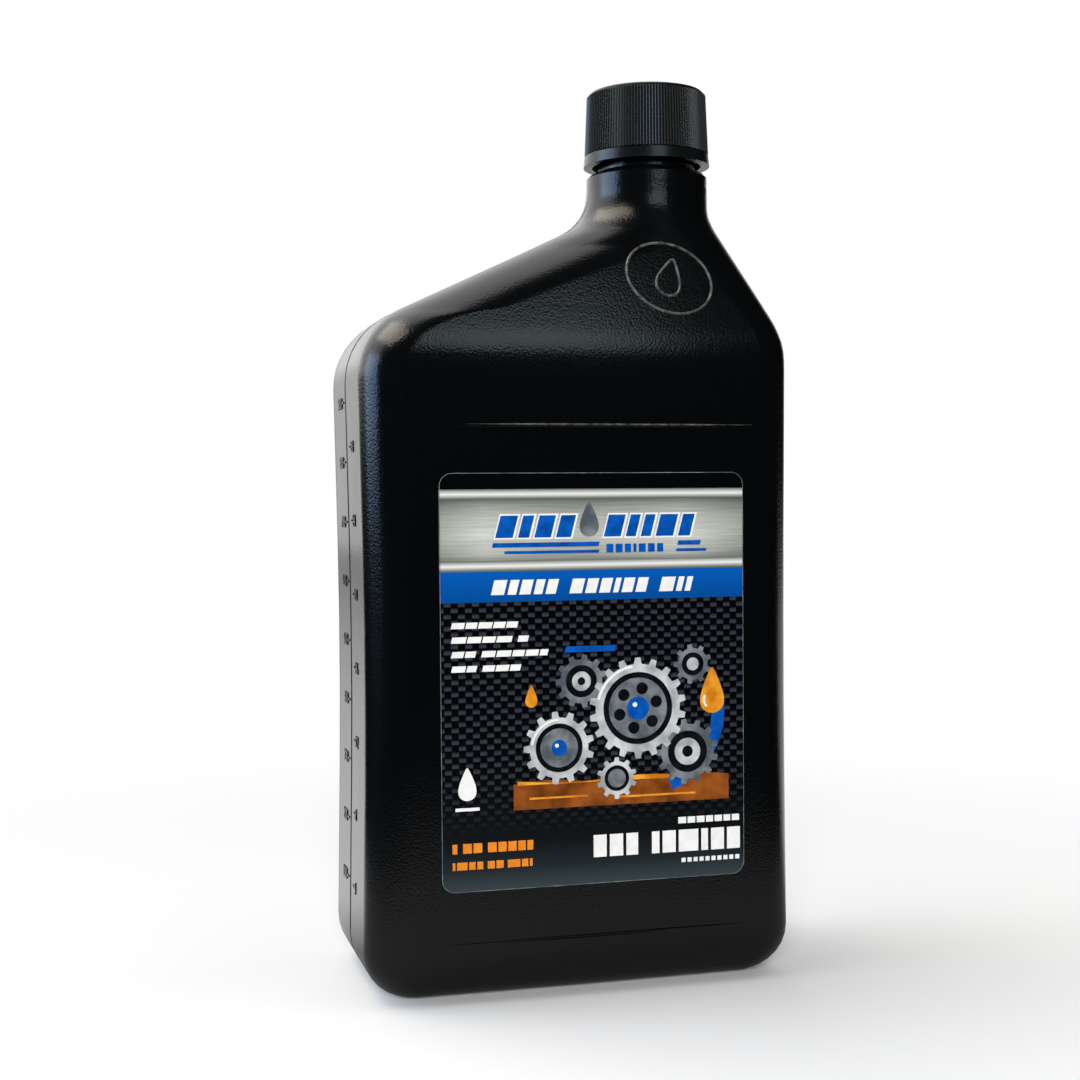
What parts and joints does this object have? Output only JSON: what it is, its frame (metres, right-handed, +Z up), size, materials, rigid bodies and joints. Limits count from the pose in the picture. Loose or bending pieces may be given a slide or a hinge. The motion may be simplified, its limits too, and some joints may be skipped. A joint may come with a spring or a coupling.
{
  "type": "motor oil bottle",
  "caption": "Flat-fronted black plastic oil bottle with sloping shoulders, an offset neck, a ribbed screw cap and a tamper ring.",
  "frame": {"origin": "middle of the bottle's footprint, on the surface it stands on", "axes": "+Z up along the bottle's height, -Y out of the labelled front, +X towards the side that the neck is nearer to"},
  "size_m": [0.1109, 0.0616, 0.23],
  "materials": {
    "bottle_plastic": "satin, fine pebble grain",
    "cap_plastic": "matte, ribbed",
    "liner_foam": "matte foam",
    "label_film": "printed film, semi-gloss"
  },
  "bodies": {
    "bottle": {"bottle": "bottle_plastic", "tamper_band": "cap_plastic", "front_label": "label_film"},
    "liner": {"cap_liner": "liner_foam"},
    "cap": {"cap": "cap_plastic"}
  },
  "joints": [
    {"name": "cap_lift", "type": "slide", "parent": "bottle", "child": "liner", "axis": [0, 0, 1], "range_m": [0, 0.01694]},
    {"name": "cap_turn", "type": "hinge", "parent": "liner", "child": "cap", "pos_m": [0.0256, 0, 0.22], "axis": [0, 0, 1], "range_deg": [0, 1440]}
  ],
  "couplings": [
    {"joint": "cap_lift", "follows": "cap_turn", "m_per_rad": 0.0006737}
  ]
}
